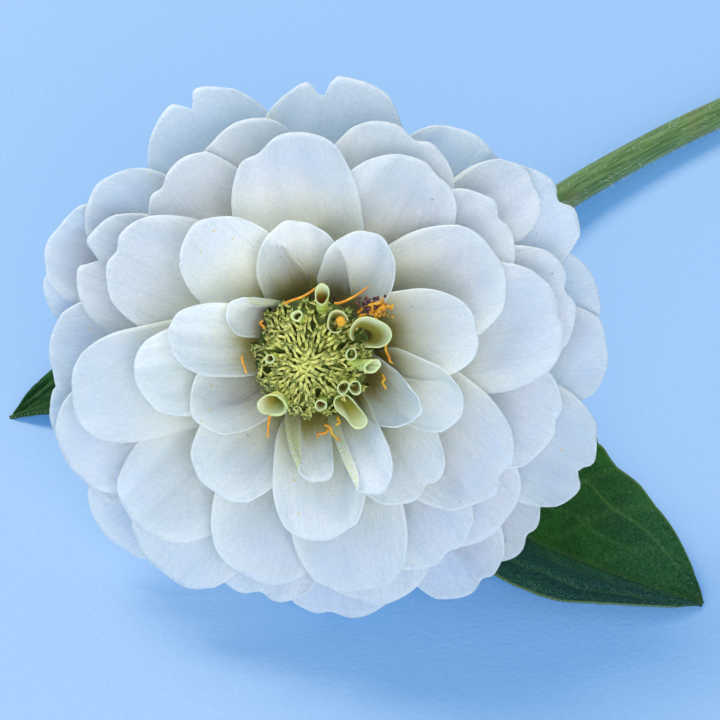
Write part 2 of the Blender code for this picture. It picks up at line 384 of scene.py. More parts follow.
def withered_finish():
    """Dried purple-brown florets, and the orange pollen beside them."""
    finish = Finish("withered_anthers", Specular_IOR_Level=0.3)
    fresh, _, _ = finish.painted()
    tint = finish.noise(finish.place(), 1100.0)
    dark = finish.coats((0.055, 0.022, 0.035), ((0.22, 0.085, 0.05), tint, 0.42, 0.60, 1.0))
    pollen = finish.coats((0.62, 0.22, 0.015), ((0.93, 0.46, 0.03), tint, 0.38, 0.58, 1.0))
    return finish.skin(finish.mix(fresh, dark, pollen), 0.5 + tint * 0.2, tint, 1.0, 0.4)


def leaf_finish(name, dark, light):
    """Rough, dark leaf: paler veins, netted blade, pale specks of fine hairs, and a painted bluish
    sheen on the front half of the fold and toward the tip.
    """
    finish = Finish(name, Sheen_Weight=0.05, Sheen_Roughness=0.45,
                    Sheen_Tint=(0.62, 0.74, 0.85, 1.0), Specular_IOR_Level=0.14)
    vein, edge, shade = finish.painted()
    place = finish.place()
    blotch = finish.noise(place, 110.0)
    pore = finish.noise(place, 1500.0, 3.0, 0.65)
    net = finish.cells(place, 620.0, "DISTANCE_TO_EDGE")
    dust = finish.noise(place, 4300.0, 1.0)
    body = finish.coats(dark, (light, blotch, 0.35, 0.68, 1.0))
    # shade is the painted sheen mask: a pale bluish-teal sheen laid on the front half of the fold and
    # on the tip.
    painted_sheen = finish.mix(shade * 0.65, body, (0.016, 0.080, 0.070))
    # The pale specks are the leaf's own fine hairs, painted stronger where the painted sheen lies.
    blade = finish.coats(
        painted_sheen,
        ((0.05, 0.14, 0.04), net, 0.06, 0.0, 0.20),
        ((0.07, 0.15, 0.09), pore, 0.58, 0.70, 0.42),
        ((0.008, 0.022, 0.008), pore, 0.44, 0.32, 0.55),
        ((0.11, 0.19, 0.18), dust, 0.54, 0.64, 0.06 + shade * 0.50),
        ((0.003, 0.018, 0.006), dust, 0.44, 0.36, 0.6))
    veined = finish.mix(vein * 0.65, blade, (0.12, 0.25, 0.06))
    rimmed = finish.coats(veined, ((0.19, 0.27, 0.09), edge, 0.965, 1.0, 0.5))
    return finish.skin(rimmed, 0.52 + pore * 0.25, pore * 0.6 + net * 0.5 + dust * 0.4, 0.8, 0.25)


def stem_finish():
    """Streaked green skin, and pale pith where the stem is cut."""
    finish = Finish("stem_skin", Sheen_Weight=0.25, Sheen_Roughness=0.5,
                    Sheen_Tint=(0.80, 0.88, 0.70, 1.0))
    _, cut, across = finish.painted()
    place = finish.place()
    streak = finish.sheet_noise((2.2, 0.12, 1.0), detail=3.0)
    blotch = finish.noise(place, 120.0)
    skin = finish.coats((0.085, 0.165, 0.032),
                        ((0.195, 0.305, 0.080), streak, 0.36, 0.66, 1.0),
                        ((0.24, 0.20, 0.06), blotch, 0.52, 0.70, 0.35))
    pith = finish.coats((0.40, 0.50, 0.22), ((0.80, 0.83, 0.62), across, 0.80, 0.62, 1.0))
    relief = streak * 0.7 + finish.noise(place, 1600.0, 2.0) * 0.3
    return finish.skin(finish.mix(cut, skin, pith), 0.5 + streak * 0.2, relief, 0.6, 0.2)


def hair_finish():
    finish = Finish("hair", Subsurface_Weight=0.2, Subsurface_Scale=0.0004, Roughness=0.4)
    tint = finish.noise(finish.place(), 300.0)
    colour = finish.mix(tint, (0.66, 0.74, 0.60), (0.84, 0.88, 0.78))
    finish.feed(finish.shader.inputs["Base Color"], colour)
    return finish.material


def bract_finish():
    """Overlapping green bracts, each with a dark fringed margin."""
    finish = Finish("bract", Specular_IOR_Level=0.35, Sheen_Weight=0.15)
    along, edge, _ = finish.painted()
    blotch = finish.noise(finish.place(), 260.0)
    streak = finish.sheet_noise((3.0, 0.2, 1.0))
    colour = finish.coats((0.14, 0.22, 0.055),
                          ((0.27, 0.37, 0.12), blotch, 0.35, 0.65, 1.0),
                          ((0.42, 0.48, 0.24), along, 0.5, 0.1, 0.5),
                          ((0.10, 0.15, 0.04), streak, 0.5, 0.7, 0.3),
                          ((0.045, 0.030, 0.018), edge + blotch * 0.12, 0.86, 1.0, 0.9))
    return finish.skin(colour, 0.5 + streak * 0.2, streak * 0.6 + blotch * 0.3, 0.6, 0.25)


def receptacle_finish():
    finish = Finish("receptacle_pith", Subsurface_Weight=0.2)
    tint = finish.noise(finish.place(), 600.0)
    return finish.skin(finish.mix(tint, (0.55, 0.60, 0.34), (0.74, 0.76, 0.52)), 0.7, tint, 0.6, 0.3)


def floor_finish():
    """Light blue paper; its own faint glow keeps its shadows blue."""
    finish = Finish("pale_floor", Specular_IOR_Level=0.15, Emission_Strength=1.0,
                    Emission_Color=(0.0, 0.125, 0.42, 1.0))
    fibre = finish.noise(finish.place(), 1200.0, 2.0)
    colour = finish.mix(fibre, (0.375, 0.445, 0.450), (0.415, 0.485, 0.490))
    return finish.skin(colour, 0.7 + fibre * 0.2, fibre, 0.3, 0.3)


# ------------ sheets and tubes

def lay_sheet(mesh, flat):
    """A UV map in millimetres, from each point's place on the flat sheet."""
    corners = np.empty(len(mesh.loops), np.int32)
    mesh.loops.foreach_get("vertex_index", corners)
    layer = mesh.uv_layers.new(name="sheet")
    layer.data.foreach_set("uv", flat[corners].astype(np.float32).ravel())


def add_piece(name, points, faces, materials, tone=None, sheet=None):
    """A mesh piece in place, riding on the flower's one body, from points in millimetres."""
    points = points.reshape(-1, 3)
    mesh = bpy.data.meshes.new(name)
    mesh.from_pydata((points * MM).tolist(), [], faces)
    for material in materials:
        mesh.materials.append(material)
    if tone is not None:
        colours = np.ones((len(points), 4), np.float32)
        colours[:, :3] = tone.reshape(-1, 3)
        attribute = mesh.color_attributes.new("tone", "FLOAT_COLOR", "POINT")
        attribute.data.foreach_set("color", colours.ravel())
    if sheet is not None:
        lay_sheet(mesh, sheet.reshape(-1, 2))
    mesh.shade_smooth()
    mesh.validate()
    piece = bpy.data.objects.new(name, mesh)
    bpy.context.scene.collection.objects.link(piece)
    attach(piece, BODY)
    return piece


def grid_faces(rows, columns, start=0, closed=False, flipped=False):
    """Quads of a grid of points held row by row; a closed grid joins its last column to its first."""
    faces = []
    for row in range(rows - 1):
        for column in range(columns if closed else columns - 1):
            a = start + row * columns + column
            b = start + row * columns + (column + 1) % columns
            faces.append((a, b, b + columns, a + columns))
    return [face[::-1] for face in faces] if flipped else faces


def tube_faces(rows, sides):
    """A closed grid with a face at each end."""
    last = (rows - 1) * sides
    ends = [tuple(range(sides - 1, -1, -1)), tuple(range(last, last + sides))]
    return grid_faces(rows, sides, closed=True) + ends


def thicken(piece, thickness, offset=-1.0, reverse_slot=0):
    shell = piece.modifiers.new("thickness", "SOLIDIFY")
    shell.thickness = thickness * MM
    shell.offset = offset
    shell.use_even_offset = False
    shell.material_offset = reverse_slot


class Bundle:
    """Many small strips and tubes gathered into one mesh."""

    def __init__(self):
        self.points = []
        self.tones = []
        self.faces = []
        self.count = 0

    def add_grid(self, points, tone, closed=False):
        rows, columns = points.shape[:2]
        self.faces += grid_faces(rows, columns, self.count, closed)
        self.points.append(points.reshape(-1, 3))
        self.tones.append(np.broadcast_to(tone, (rows, columns, 3)).reshape(-1, 3))
        self.count += rows * columns

    def piece(self, name, material, slot, in_bloom=True):
        points = np.vstack(self.points)
        return add_piece(name, from_bloom(points) if in_bloom else points, self.faces, [material],
                         np.vstack(self.tones))


PLAIN_TONE = (0.5, 0.5, 0.5)
TUBE_GUIDE = np.array((0.31, 0.17, 0.94))


def circles(first, second, angles):
    """Unit circles, each turning from a row of first to the same row of second."""
    turn = angles[None, :, None]
    return first[:, None] * np.cos(turn) + second[:, None] * np.sin(turn)


def tube_rings(path, radii, sides):
    """Rings of points round a path; the ends close in because their radii are small."""
    ahead = ways_along(path)
    first = unit(np.cross(ahead, TUBE_GUIDE))
    rings = circles(first, np.cross(ahead, first), full_turn(sides))
    return path[:, None] + rings * np.asarray(radii)[:, None, None]


# ------------ petals

PETAL_THICKNESS = 0.16
PETAL_LONG_ROWS = 15
PETAL_END_ROWS = 11
PETAL_COLUMNS = 23
CLAW_SHARE = 0.17
MARGIN_LIFT = 0.02
YOUNG_FROM = 0.5
FURROW_DEPTH = 0.13

# How each whorl's petals are shaped: how slowly they widen from the foot (waist), how much wider
# they are than the CAD's plain sheets, how long the rounded end is and how square, how deep the
# cup, how far the end lifts, how far one margin tilts above the other, how deep the waves are, and
# how young (cream and green) the petal looks. Depths and lifts are in millimetres.
WHORL_SHAPES = {
    "outer": dict(waist=0.85, wider=1.14, round_end=0.46, square=0.90, cup=0.5, lift=0.3, tilt=0.35,
                  wave=0.34, youth=0.0),
    "second": dict(waist=0.85, wider=1.14, round_end=0.48, square=0.90, cup=0.7, lift=0.4, tilt=0.4,
                   wave=0.34, youth=0.02),
    "third": dict(waist=0.9, wider=1.12, round_end=0.50, square=0.90, cup=0.9, lift=0.5, tilt=0.4,
                  wave=0.30, youth=0.08),
    "fourth": dict(waist=1.15, wider=1.15, round_end=0.52, square=0.90, cup=1.5, lift=0.9, tilt=0.3,
                   wave=0.24, youth=0.35),
    "inner": dict(waist=1.35, wider=1.12, round_end=0.55, square=0.92, cup=2.1, lift=1.2, tilt=0.2,
                  wave=0.16, youth=0.6),
}
FULL_WIDTH_AT = 0.8

# What differs on single petals: how far one is turned (degrees), how much longer it is, how much
# wider, whether one side runs further than the other (skew), its notch (depth, place across,
# width), the depth of a crease down its middle (fold), how far it leans round the axis (degrees)
# and a margin folded over (side, distance of the fold from the middle, radius of the fold).
PETAL_MARKS = {
    "outer_02": dict(longer=0.6),
    "outer_03": dict(longer=1.0, wider=1.05, notch=(1.8, -0.1, 0.2)),
    "outer_04": dict(turn=-1, notch=(0.9, 0.3, 0.2)),
    "outer_05": dict(turn=2, notch=(0.9, 0.2, 0.2), fold=0.8),
    "outer_06": dict(notch=(1.0, -0.35, 0.22)),
    "outer_07": dict(turn=-4, longer=0.9, wider=1.15),
    "outer_08": dict(longer=-0.6),
    "outer_09": dict(longer=-0.6, notch=(0.6, 0.3, 0.2)),
    "outer_11": dict(notch=(0.6, 0.1, 0.2)),
    "outer_12": dict(longer=1.5),
    "outer_13": dict(turn=3, wider=1.0),
    "outer_14": dict(turn=2.5, longer=0.6, wider=1.2, skew=-0.6, notch=(2.6, -0.12, 0.15)),
    "outer_15": dict(turn=-3, longer=0.6, wider=1.26, skew=-1.1, notch=(3.2, 0.16, 0.15)),
    "outer_16": dict(turn=-3),
    "outer_17": dict(longer=0.2, wider=1.15, skew=-1.3, notch=(1.6, -0.2, 0.2)),
    "second_01": dict(notch=(1.1, 0.1, 0.2)),
    "second_02": dict(notch=(1.0, 0.1, 0.2)),
    "second_05": dict(notch=(1.0, 0.1, 0.2)),
    "second_06": dict(turn=-5),
    "second_07": dict(longer=1.0),
    "second_08": dict(notch=(2.8, 0.0, 0.16), fold=0.6),
    "second_09": dict(turn=2, skew=-1.0, notch=(1.0, 0.3, 0.2)),
    "second_10": dict(turn=3, youth=0.4),
    "second_11": dict(turn=-4, wider=1.25, youth=0.3, notch=(1.2, -0.15, 0.2)),
    "second_12": dict(notch=(1.1, 0.0, 0.2)),
    "third_01": dict(longer=1.0, notch=(0.9, 0.05, 0.2)),
    "third_02": dict(turn=-2, notch=(1.3, 0.1, 0.2)),
    "third_03": dict(notch=(0.9, 0.1, 0.2)),
    "third_06": dict(turn=3, longer=3.0, wider=1.04),
    "third_07": dict(turn=4, wider=0.96),
    "third_08": dict(notch=(0.9, 0.0, 0.2)),
    "third_09": dict(skew=-0.4, notch=(0.8, 0.6, 0.22)),
    "third_10": dict(notch=(0.6, -0.3, 0.22)),
    "fourth_01": dict(wider=1.06, notch=(0.6, 0.0, 0.22)),
    "fourth_02": dict(turn=-4, wider=0.98, waist=1.8),
    "fourth_03": dict(notch=(0.9, 0.1, 0.2), fold=1.1),
    "fourth_05": dict(turn=-2),
    "fourth_06": dict(longer=0.8),
    "fourth_07": dict(turn=6),
    "fourth_08": dict(turn=5),
    "fourth_09": dict(turn=2, wider=1.22),
    "fourth_10": dict(turn=-4, wider=1.0),
    "inner_01": dict(cup=2.4, tilt=0.0, turn=-4, waist=2.0),
    "inner_02": dict(cup=1.4, turn=4, lean=4, fold_over=(-1, 1.9, 0.55), youth=0.7),
    "inner_03": dict(cup=1.2, turn=-14, lean=31, longer=0.8, wider=1.16, round_end=1.0,
                     square=1.0, fold_over=(-1, 1.5, 0.45), youth=0.95),
    "inner_04": dict(turn=-3),
}

NO_NOTCH = (0.0, 0.0, 1.0)

# Petals too small or too far under the others for the CAD: name, direction in degrees, reach,
# half width, layer, whorl and marks.
SMALL_PETALS = (
    ("petal_tucked", 45.0, 38.0, 6.2, 0.22, "outer", dict(cup=0.5, lift=0.1)),
    ("petal_young_cup", 136.0, 13.6, 4.0, 0.99, "inner",
     dict(cup=1.3, lean=15, fold_over=(-1, 2.0, 0.35), youth=0.75, lift=1.0)),
)


def petal_blade(half, length, shape):
    """Across and along of every point of a flat blade, in millimetres, row by row."""
    across = np.linspace(-1, 1, PETAL_COLUMNS)[None]
    across = np.sign(across) * np.abs(across) ** 0.88
    end = min(shape["round_end"] * 2 * half, 0.55 * length)
    share = np.linspace(0, 1, PETAL_LONG_ROWS + 1)[:-1, None]
    width = CLAW_SHARE + (1 - CLAW_SHARE) * smooth_step(share / FULL_WIDTH_AT) ** shape["waist"]
    side_a = across * half * width
    long_a = np.broadcast_to(share * (length - end), side_a.shape)
    sweep = np.linspace(0, 1, PETAL_END_ROWS)[:, None]
    square = shape["square"]
    side_b = across * half * np.sqrt(1 - square * sweep ** 2 / 2)
    long_b = length - end + end * sweep * np.sqrt(1 - square * across ** 2 / 2)
    depth, place, spread = shape.get("notch", NO_NOTCH)
    long_b = long_b - depth * sweep ** 3 * np.exp(-((across - place) / spread) ** 2)
    long_b = long_b + shape.get("skew", 0.0) * across * sweep ** 2
    ripple = sum(0.22 / k * np.sin(k * 2.3 * across + shape["phase"] * k) for k in (1, 2, 3))
    long_b = long_b + ripple * sweep ** 3
    side = np.vstack((side_a, side_b))
    long = np.vstack((long_a, long_b))
    return side, long, np.broadcast_to(across, side.shape)


def fold_over(side, which, line, radius):
    """Folds a margin back over the blade beyond a straight line; returns where it lands."""
    beyond = np.clip(side * which - line, 0, None)
    turned = np.minimum(beyond / radius, math.pi)
    landed = which * (line + radius * np.sin(turned) - (beyond - turned * radius))
    return np.where(beyond > 0, landed, side), radius * (1 - np.cos(turned))


def make_petal(name, direction, reach, half, depth, shape, materials):
    """One petal: a flat blade laid on its layer, then cupped, tilted, waved and curled."""
    layer = Layer(depth)
    length = np.interp(reach, layer.curve[:, 0], layer.arc)
    side, long, across = petal_blade(half, length, shape)
    share = long / length
    open_part = smooth_step((share - 0.15) / 0.5)
    margin = np.abs(across)
    height = np.zeros_like(side)
    if "fold_over" in shape:
        width = np.abs(side[:, :1])
        side, height = fold_over(side, *shape["fold_over"])
        across = side / width
    height = height + shape["cup"] * (across ** 2 - 0.25) * open_part
    height += shape["lift"] * np.clip((share - 0.62) / 0.38, 0, None) ** 2
    height += shape["tilt"] * across * open_part
    height -= shape.get("fold", 0.0) * np.exp(-(across / 0.13) ** 2) * smooth_step((share - 0.3) / 0.3)
    height += MARGIN_LIFT * smooth_step((margin - 0.88) / 0.12) * open_part
    wave = shape["wave"]
    phase = shape["phase"]
    height += wave * 0.55 * np.sin(share * 7.0 + phase) * across * open_part
    height += wave * 0.7 * np.cos(across * 2.2 + share * 3.5 + phase * 1.7) * open_part
    furrows = math.pi * (3.2 + 0.8 * math.sin(phase * 5))
    height += FURROW_DEPTH * np.cos(across * furrows + phase + 0.8 * share) * open_part
    layer_radius, radius, level = layer.laid(long, height)
    angle = direction + side / layer_radius + math.radians(shape["lean"]) * share ** 2
    points = round_place(angle, radius, level)
    youth = np.full_like(share, shape["youth"])
    tone = np.stack((share, np.maximum(margin, end_edge(share)), youth), axis=-1)
    sheet = np.stack((side + phase * 10, long), axis=-1)
    slot = "young_petal" if shape["youth"] > YOUNG_FROM else "petal"
    piece = add_piece(name, from_bloom(points), grid_faces(*side.shape, flipped=True), materials,
                      tone, sheet)
    thicken(piece, PETAL_THICKNESS, reverse_slot=1)
    return piece


def end_edge(share):
    """How near the petal's end each row is, as the margins are measured across it."""
    rows = np.linspace(0, 1, len(share))[:, None]
    return np.clip((rows - 0.72) / 0.28, 0, 1) ** 0.8 + share * 0


def whorl_shape(whorl, marks):
    """A whorl's shape with this petal's own chance differences, then its marks."""
    shape = dict(WHORL_SHAPES[whorl])
    shape["phase"] = rng.uniform(0, math.tau)
    shape["lean"] = rng.uniform(-2.5, 2.5)
    shape["tilt"] *= rng.uniform(-1, 1)
    shape["lift"] *= rng.uniform(-0.4, 1.6)
    shape["cup"] *= rng.uniform(0.7, 1.3)
    shape["youth"] = max(0.0, shape["youth"] + rng.uniform(-0.08, 0.12))
    shape.update(marks)
    return shape


def make_petals(materials):
    for node in sorted(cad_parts):
        if not node.startswith("petal_"):
            continue
        direction, reach, half, depth = read_petal(node)
        shape = whorl_shape(node.split("_")[1], PETAL_MARKS.get(node.removeprefix("petal_"), {}))
        direction += math.radians(shape.get("turn", 0.0))
        piece = make_petal(node + "_blade", direction, reach + shape.get("longer", 0.0),
                           half * shape["wider"], depth, shape, materials)
        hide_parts(node)
    for name, degrees, reach, half, depth, whorl, marks in SMALL_PETALS:
        shape = whorl_shape(whorl, marks)
        make_petal(name, math.radians(degrees), reach, half, depth, shape, materials)


# ------------ the middle of the bloom

DISC_RADIUS = 8.6
DISC_TOP = 41.3
CORE_SUNK = 2.7
CORE_INSET = 0.4
CORE_ROWS = 18
CORE_SIDES = 32
CHAFF_COUNT = 92
CHAFF_ROWS = 6
CHAFF_THICKNESS = 0.09
RIBBON_ROWS = 14
CHAFF_MIDDLE = np.array((-0.3, -1.0, 0.0))
GOLDEN_ANGLE = math.pi * (3 - math.sqrt(5))


def disc_level(radius):
    """Height of the domed top of the disc at a radius."""
    return DISC_TOP - 6.4 * (radius / DISC_RADIUS) ** 2.2


def make_core(material):
    """The mass under the chaff tips, painted near-black as the shade deep among them, turned from the
    CAD disc's own outline.
    """
    points = to_bloom(node_points("disc"))
    radius = np.hypot(points[:, 0], points[:, 1])
    outline = np.array([(level, radius[np.abs(points[:, 2] - level) < 0.05].max())
                        for level in np.unique(points[:, 2].round(1))])
    heights = np.linspace(outline[0, 0] + 0.3, DISC_TOP - CORE_SUNK, CORE_ROWS)[:, None]
    radii = np.interp(heights, *outline.T) - CORE_INSET
    radii = radii * np.sqrt(np.clip((heights[-1] + 0.2 - heights) / 4.0, 0.0, 1.0))
    angles = full_turn(CORE_SIDES)
    bumps = 0.35 * np.sin(7 * angles + heights * 1.9) * (radii > 2)
    grid = round_place(angles, radii + bumps, heights)
    core = add_piece("disc_core", from_bloom(grid), tube_faces(CORE_ROWS, CORE_SIDES), [material])
    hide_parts("disc")


def strip(path, widths, across_way, columns, hollow):
    """A narrow strip along a path, hollowed across its width."""
    across = np.linspace(-1, 1, columns)[None, :, None]
    widths = widths[:, None, None]
    up = unit(np.cross(across_way, ways_along(path)))
    return (path[:, None] + across_way[:, None] * (across * widths)
            + up[:, None] * (hollow * across ** 2 * widths))


def directions_at(angle):
    """Outward and sideways at an angle round the bloom's axis."""
    outward = np.array((math.cos(angle), math.sin(angle), 0.0))
    return outward, np.array((-math.sin(angle), math.cos(angle), 0.0))


def chaff_tone(along, share):
    """Paint for a strip of chaff: greener the nearer it is to the middle of the disc."""
    return np.stack((along, np.zeros_like(along), np.full_like(along, 1 - share)), axis=-1)


def make_chaff(material):
    """Chaff bracts on a golden-angle spiral; each ends in crinkled ribbons that arch inward."""
    bundle = Bundle()
    for index in range(CHAFF_COUNT):
        share = (index + 0.5) / CHAFF_COUNT
        radius = DISC_RADIUS * math.sqrt(share)
        angle = index * GOLDEN_ANGLE + rng.uniform(-0.15, 0.15)
        outward, sideways = directions_at(angle)
        top = outward * radius + UP * (disc_level(radius) - 1.0 + rng.uniform(-0.4, 0.4))
        top = top + CHAFF_MIDDLE * (1 - share)
        steps = np.linspace(0, 1, CHAFF_ROWS)[:, None]
        blade = top - UP * 4.0 * (1 - steps) + outward * 0.5 * np.sin(steps * math.pi)
        widths = np.linspace(0.30, 0.44, CHAFF_ROWS)
        way = np.broadcast_to(sideways, blade.shape)
        bundle.add_grid(strip(blade, widths, way, 5, 0.6), chaff_tone(0.2 + 0.52 * steps, share))
        fingers = 2 if share < 0.4 else 3
        for finger in range(fingers):
            place = (finger - (fingers - 1) / 2) * 0.5
            loose = smooth_step((share - 0.35) / 0.5)
            inward = rng.uniform(1.7, 2.7) * (1 - 0.8 * loose * rng.random())
            inward = min(inward, radius * 0.85 + 0.5)
            aside = place * 0.8 + rng.uniform(-0.5, 0.5) * (0.6 + 2.6 * loose)
            rise = rng.uniform(0.5, 1.1) + 0.5 * loose * rng.random()
            fall = rng.uniform(0.2, 0.9)
            start = rng.uniform(0, math.tau)
            t = np.linspace(0, 1, RIBBON_ROWS)[:, None]
            crinkle = np.sin(t * rng.uniform(11, 17) + start)
            route = (top + sideways * (place + aside * t ** 1.5 + 0.10 * crinkle)
                     - outward * inward * t ** 1.2
                     + UP * (rise * np.sin(t * 2.2) - fall * t ** 3 + 0.07 * np.cos(t * 21 + start)))
            slim = np.interp(t[:, 0], (0, 0.2, 0.85, 1.0), (0.26, 0.19, 0.17, 0.09))
            slim = slim * (1 + 0.22 * np.sin(t[:, 0] * 26 + start)) * rng.uniform(0.8, 1.25)
            roll = rng.uniform(-0.9, 0.9) * (0.5 + loose) + 0.5 * crinkle
            way = sideways * np.cos(roll) + UP * np.sin(roll)
            bundle.add_grid(strip(route, slim, way, 3, 0.8), chaff_tone(0.52 + 0.5 * t, share))
    chaff = bundle.piece("chaff_bracts", material, "chaff")
    thicken(chaff, CHAFF_THICKNESS, 0.0)
    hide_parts("disc")


# Young petals still rolled up, round and on the disc: direction in degrees, distance from the
# axis, height of the open end, radius there, length, lean outward in degrees, turns of the roll,
# slant of the open end, where its gap faces in degrees, how much wider the end is than the foot,
# how far the section is flattened and the direction of its long side in degrees.
YOUNG_ROLLS = (
    ("roll_top", 81, 10.2, 42.8, 0.92, 6.5, 28, 1.05, 2.5, 180, 1.15, 0.05, 90),
    ("curl_top_left", 105, 6.5, 42.0, 0.72, 4.0, 12, 1.9, 0.3, 90, 1.1, 0.05, 30),
    ("half_roll", 57, 7.2, 42.2, 1.30, 5.0, 14, 0.80, 0.7, 280, 1.3, 0.08, 70),
    ("wide_roll", 29, 9.8, 41.4, 2.15, 6.5, 20, 0.86, 0.9, 205, 1.9, 0.20, 350),
    ("tiny_right", 15, 6.3, 42.0, 0.72, 3.6, 8, 1.3, 0.5, 150, 1.2, 0.08, 80),
    ("roll_right", 1, 9.5, 41.6, 1.0, 5.5, 46, 1.7, 1.2, 235, 1.8, 0.06, 40),
    ("tiny_left", 178, 5.0, 42.2, 0.58, 3.5, 6, 1.5, 0.3, 120, 1.2, 0.06, 10),
    ("curl_bottom_left", 235, 8.1, 40.8, 1.75, 5.5, 22, 1.45, 0.7, 100, 2.0, 0.10, 0),
    ("tiny_bottom", 292, 6.2, 41.6, 0.70, 3.6, 10, 1.4, 0.4, 90, 1.2, 0.06, 0),
    ("roll_bottom_right", 313, 10.3, 39.8, 1.55, 6.5, 42, 1.0, 2.3, 180, 2.2, 0.32, 320),
    ("tiny_low_a", 329, 6.1, 41.4, 0.74, 3.5, 8, 1.0, 0.5, 30, 1.2, 0.12, 60),
    ("tiny_low_b", 336, 7.5, 41.0, 0.80, 3.5, 14, 1.05, 0.5, 180, 1.2, 0.10, 100),
)
ROLL_WALL = 0.13
ROLL_ROWS = 16
ROLL_COLUMNS = 40


def make_roll(row, materials):
    """A sheet rolled into a tube that flares to its open end."""
    (name, degrees, distance, top, end_radius, long, lean, turns, slant, gap, flare,
     flatness, flat_way) = row
    outward, sideways = directions_at(math.radians(degrees))
    tip_way = outward * math.sin(math.radians(lean)) + UP * math.cos(math.radians(lean))
    end = outward * distance + UP * top
    first = np.cross(sideways, tip_way)
    share = np.linspace(0, 1, ROLL_ROWS)[:, None]
    around = np.linspace(0, 1, ROLL_COLUMNS)[None]
    theta = math.radians(gap) + turns * math.tau * (around - 0.5) + math.pi
    inward = 1 - 0.30 * np.clip(turns - 0.8, 0, 1.2) * around
    radius = end_radius * (1 / flare + (1 - 1 / flare) * smooth_step(share) ** 1.3) * inward
    radius = radius * (1 + flatness * np.cos(2 * (theta - math.radians(flat_way - degrees)))
                       + 0.05 * np.sin(3 * theta + top))
    edge_drop = slant * end_radius * (1 + np.cos(theta - math.radians(gap))) / 2
    reach = long * (share - 1) - edge_drop * share
    reach = reach + 0.08 * np.sin(5 * theta + degrees) * share
    lip = 0.10 * end_radius * smooth_step((share - 0.8) / 0.2)
    ring = radius + lip
    points = (end + tip_way * reach[..., None] + first * (ring * np.cos(theta))[..., None]
              + sideways * (ring * np.sin(theta))[..., None])
    edge = np.maximum(np.abs(2 * around - 1) ** 9 + share * 0, smooth_step((share - 0.9) / 0.1))
    tone = np.stack((0.35 + 0.6 * share + around * 0, edge, np.full(edge.shape, 0.95)), axis=-1)
    sheet = np.stack((theta * end_radius + share * 0, long * share + theta * 0), axis=-1)
    roll = add_piece("young_" + name, from_bloom(points), grid_faces(ROLL_ROWS, ROLL_COLUMNS),
                     materials, tone, sheet)
    thicken(roll, ROLL_WALL, 0.0, reverse_slot=1)


# Orange styles: where each leaves the disc and where it ends (direction, distance, height), and
# how much it arches.
STYLES = (
    ((118, 8.4, 38.4), (82, 11.0, 39.4), 1.2), ((69, 8.6, 38.6), (55, 13.2, 38.8), 0.8),
    ((44, 9.0, 38.4), (38, 13.6, 41.0), 0.6), ((48, 9.4, 38.2), (43, 13.2, 41.6), 0.5),
    ((16, 10.8, 38.0), (2, 11.6, 38.4), 0.9), ((150, 7.6, 37.6), (143, 8.4, 39.0), 0.3),
    ((183, 9.4, 37.2), (196, 8.6, 38.8), 0.5), ((238, 9.6, 36.8), (246, 12.4, 37.4), 0.3),
    ((286, 9.4, 36.8), (292, 12.6, 37.2), 0.4), ((288, 10.0, 37.0), (280, 10.6, 38.2), 0.5),
    ((300, 8.8, 38.0), (297, 9.7, 39.2), 0.2), ((352, 10.2, 37.4), (343, 11.0, 38.2), 0.4),
)


STYLE_ROWS = 11
STYLE_SIDES = 7


def cylinder_place(degrees, distance, height):
    return round_place(math.radians(degrees), distance, height)


def make_styles(material):
    bundle = Bundle()
    for root, tip, arch in STYLES:
        start = cylinder_place(*root)
        end = cylinder_place(*tip)
        t = np.linspace(0, 1, STYLE_ROWS)[:, None]
        sway = np.array((rng.uniform(-0.5, 0.5), rng.uniform(-0.5, 0.5), 0))
        kink = np.array((rng.uniform(-0.25, 0.25), rng.uniform(-0.25, 0.25), 0.1))
        path = (start + (end - start) * t + np.sin(t * math.pi) * (UP * arch + sway)
                + np.sin(t * math.pi * 3) * kink)
        radii = np.linspace(0.20, 0.13, STYLE_ROWS)
        radii[-1] = 0.04
        bundle.add_grid(tube_rings(path, radii, STYLE_SIDES), PLAIN_TONE, closed=True)
    bundle.piece("orange_styles", material, "style")


# The withered florets and the pollen: the middle of each clump, how many grains it has and their
# largest radius. The ball of pollen lies by itself on the disc.
WITHERED_CLUMP = (cylinder_place(46, 11.4, 39.8), 95, 0.26)
POLLEN_CLUMP = (cylinder_place(41, 12.2, 40.0), 95, 0.22)
CLUMP_SPREAD = (0.75, 0.55, 0.5)
GRAIN_SMALLEST = 0.12
GRAIN_SIDES = 7
BALL_SIDES = 12
POLLEN_BALL = cylinder_place(54, 7.4, 41.9)
BALL_RADIUS = 0.72


def make_withered(material):
    """The clump of withered florets and spilt pollen beside the wide roll."""
    bundle = Bundle()
    for fresh, (middle, count, largest) in enumerate((WITHERED_CLUMP, POLLEN_CLUMP)):
        for _ in range(count):
            offset = np.array([rng.gauss(0, spread) for spread in CLUMP_SPREAD])
            size = rng.uniform(GRAIN_SMALLEST, largest)
            way = unit(np.array([rng.gauss(0, 1) for _ in range(3)]))
            t = np.linspace(-1, 1, 6)[:, None]
            path = middle + offset + way * t * size * rng.uniform(1.0, 2.6)
            radii = size * np.sqrt(np.clip(1.02 - t[:, 0] ** 2, 0.02, 1))
            bundle.add_grid(tube_rings(path, radii, GRAIN_SIDES), (fresh, 0.5, 0.5), closed=True)
    t = np.linspace(-1, 1, 8)[:, None]
    radii = BALL_RADIUS * np.sqrt(np.clip(1.01 - t[:, 0] ** 2, 0.01, 1))
    ball = tube_rings(POLLEN_BALL + UP * t * BALL_RADIUS, radii, BALL_SIDES)
    bundle.add_grid(ball, (1.0, 0.5, 0.5), closed=True)
    bundle.piece("withered_florets", material, "style")


# ------------ the back of the bloom

# Bracts from the stem outward: how many in a row, where the row starts and ends as shares of the
# outermost layer, and how wide each bract is.
BRACT_ROWS = ((7, 0.02, 0.10, 4.6), (9, 0.06, 0.17, 5.0), (11, 0.11, 0.25, 5.2),
              (13, 0.17, 0.33, 5.2))
BRACT_SAMPLES = 9
BRACT_OVERLAP = 0.03
BRACT_THICKNESS = 0.32
